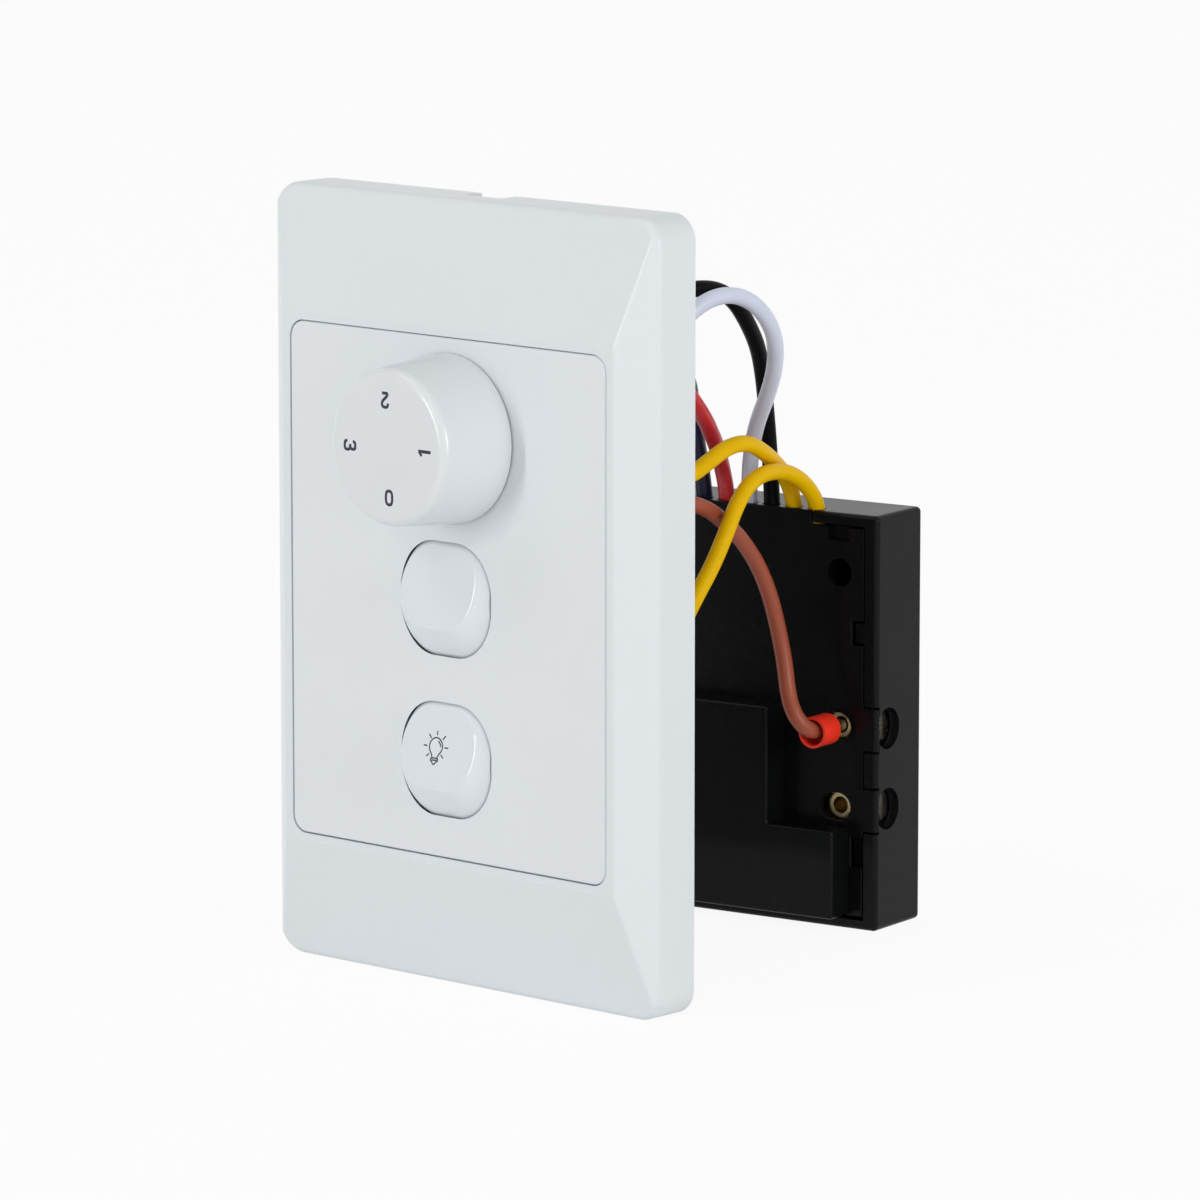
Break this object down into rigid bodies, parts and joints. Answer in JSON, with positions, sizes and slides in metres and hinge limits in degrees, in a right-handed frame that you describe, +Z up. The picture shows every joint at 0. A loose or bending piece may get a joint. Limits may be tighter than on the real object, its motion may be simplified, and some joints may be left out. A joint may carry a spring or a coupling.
{
  "type": "fan speed control switch",
  "caption": "Vertical wall plate with a rotary fan speed knob and rocker switches, wired to a separate capacitor control box.",
  "frame": {"origin": "centre of the plate's wall-fixing face, midway between the two fixing holes", "axes": "+Z up, +X to the right seen from the front, -Y out of the wall towards the user; the knob and rockers face -Y"},
  "size_m": [0.076, 0.0989, 0.116],
  "materials": {
    "cover_white": "gloss",
    "panel_white": "satin gloss",
    "knob_white": "satin gloss",
    "rocker_white": "gloss",
    "module_grey": "matte",
    "rotary_housing": "matte",
    "nylon": "satin",
    "brass": "machined",
    "zinc_steel": "zinc plated",
    "spring_steel": "drawn",
    "box_black": "fine textured",
    "board": "laminate",
    "capacitor": "moulded",
    "collar_orange": "satin",
    "tinned_brass": "tinned",
    "black_pvc": "soft gloss",
    "white_pvc": "soft gloss",
    "red_pvc": "soft gloss",
    "navy_pvc": "soft gloss",
    "brown_pvc": "soft gloss",
    "yellow_pvc": "soft gloss"
  },
  "bodies": {
    "base": {"surround": "cover_white", "grid_plate": "panel_white", "rotary_body": "rotary_housing", "rotary_cover": "module_grey", "rotary_nut": "zinc_steel", "detent_ball": "spring_steel", "detent_spring": "spring_steel", "rotary_terminals": "brass", "rotary_screws": "zinc_steel", "box_case": "box_black", "box_lid": "box_black", "circuit_board": "board", "large_capacitor": "capacitor", "small_capacitor": "capacitor", "upper_box_terminal": "brass", "lower_box_terminal": "brass", "box_screws": "zinc_steel", "ferrule_collar": "collar_orange", "ferrule_pin": "tinned_brass", "black_wire": "black_pvc", "white_wire": "white_pvc", "red_wire": "red_pvc", "navy_wire": "navy_pvc", "brown_wire": "brown_pvc", "rear_yellow_wire": "yellow_pvc", "front_yellow_wire": "yellow_pvc", "upper_switch_body": "module_grey", "upper_common_terminal": "brass", "upper_active_terminal": "brass", "upper_terminal_screws": "zinc_steel", "lower_switch_body": "module_grey", "lower_common_terminal": "brass", "lower_active_terminal": "brass", "lower_terminal_screws": "zinc_steel"},
    "knob": {"speed_knob": "knob_white", "rotor_shaft": "nylon", "rotor_contact": "brass"},
    "upper_rocker": {"upper_rocker": "rocker_white", "upper_plunger": "nylon", "upper_plunger_spring": "spring_steel"},
    "upper_contact": {"upper_contact_arm": "brass"},
    "lower_rocker": {"lower_rocker": "rocker_white", "lower_plunger": "nylon", "lower_plunger_spring": "spring_steel"},
    "lower_contact": {"lower_contact_arm": "brass"}
  },
  "joints": [
    {"name": "knob_turn", "type": "hinge", "parent": "base", "child": "knob", "pos_m": [0.0009, -0.018, 0.0237], "axis": [0, 1, 0], "range_deg": [0, 270]},
    {"name": "upper_rocker_tilt", "type": "hinge", "parent": "base", "child": "upper_rocker", "pos_m": [0, -0.005, 0], "axis": [1, 0, 0], "range_deg": [0, 26]},
    {"name": "upper_contact_rock", "type": "hinge", "parent": "base", "child": "upper_contact", "pos_m": [0, 0.0032, 0], "axis": [1, 0, 0], "range_deg": [-8, 0]},
    {"name": "lower_rocker_tilt", "type": "hinge", "parent": "base", "child": "lower_rocker", "pos_m": [0, -0.005, -0.0237], "axis": [1, 0, 0], "range_deg": [0, 26]},
    {"name": "lower_contact_rock", "type": "hinge", "parent": "base", "child": "lower_contact", "pos_m": [0, 0.0032, -0.0237], "axis": [1, 0, 0], "range_deg": [-8, 0]}
  ],
  "couplings": [
    {"joint": "upper_contact_rock", "follows": "upper_rocker_tilt", "ratio": -0.30769},
    {"joint": "lower_contact_rock", "follows": "lower_rocker_tilt", "ratio": -0.30769}
  ]
}
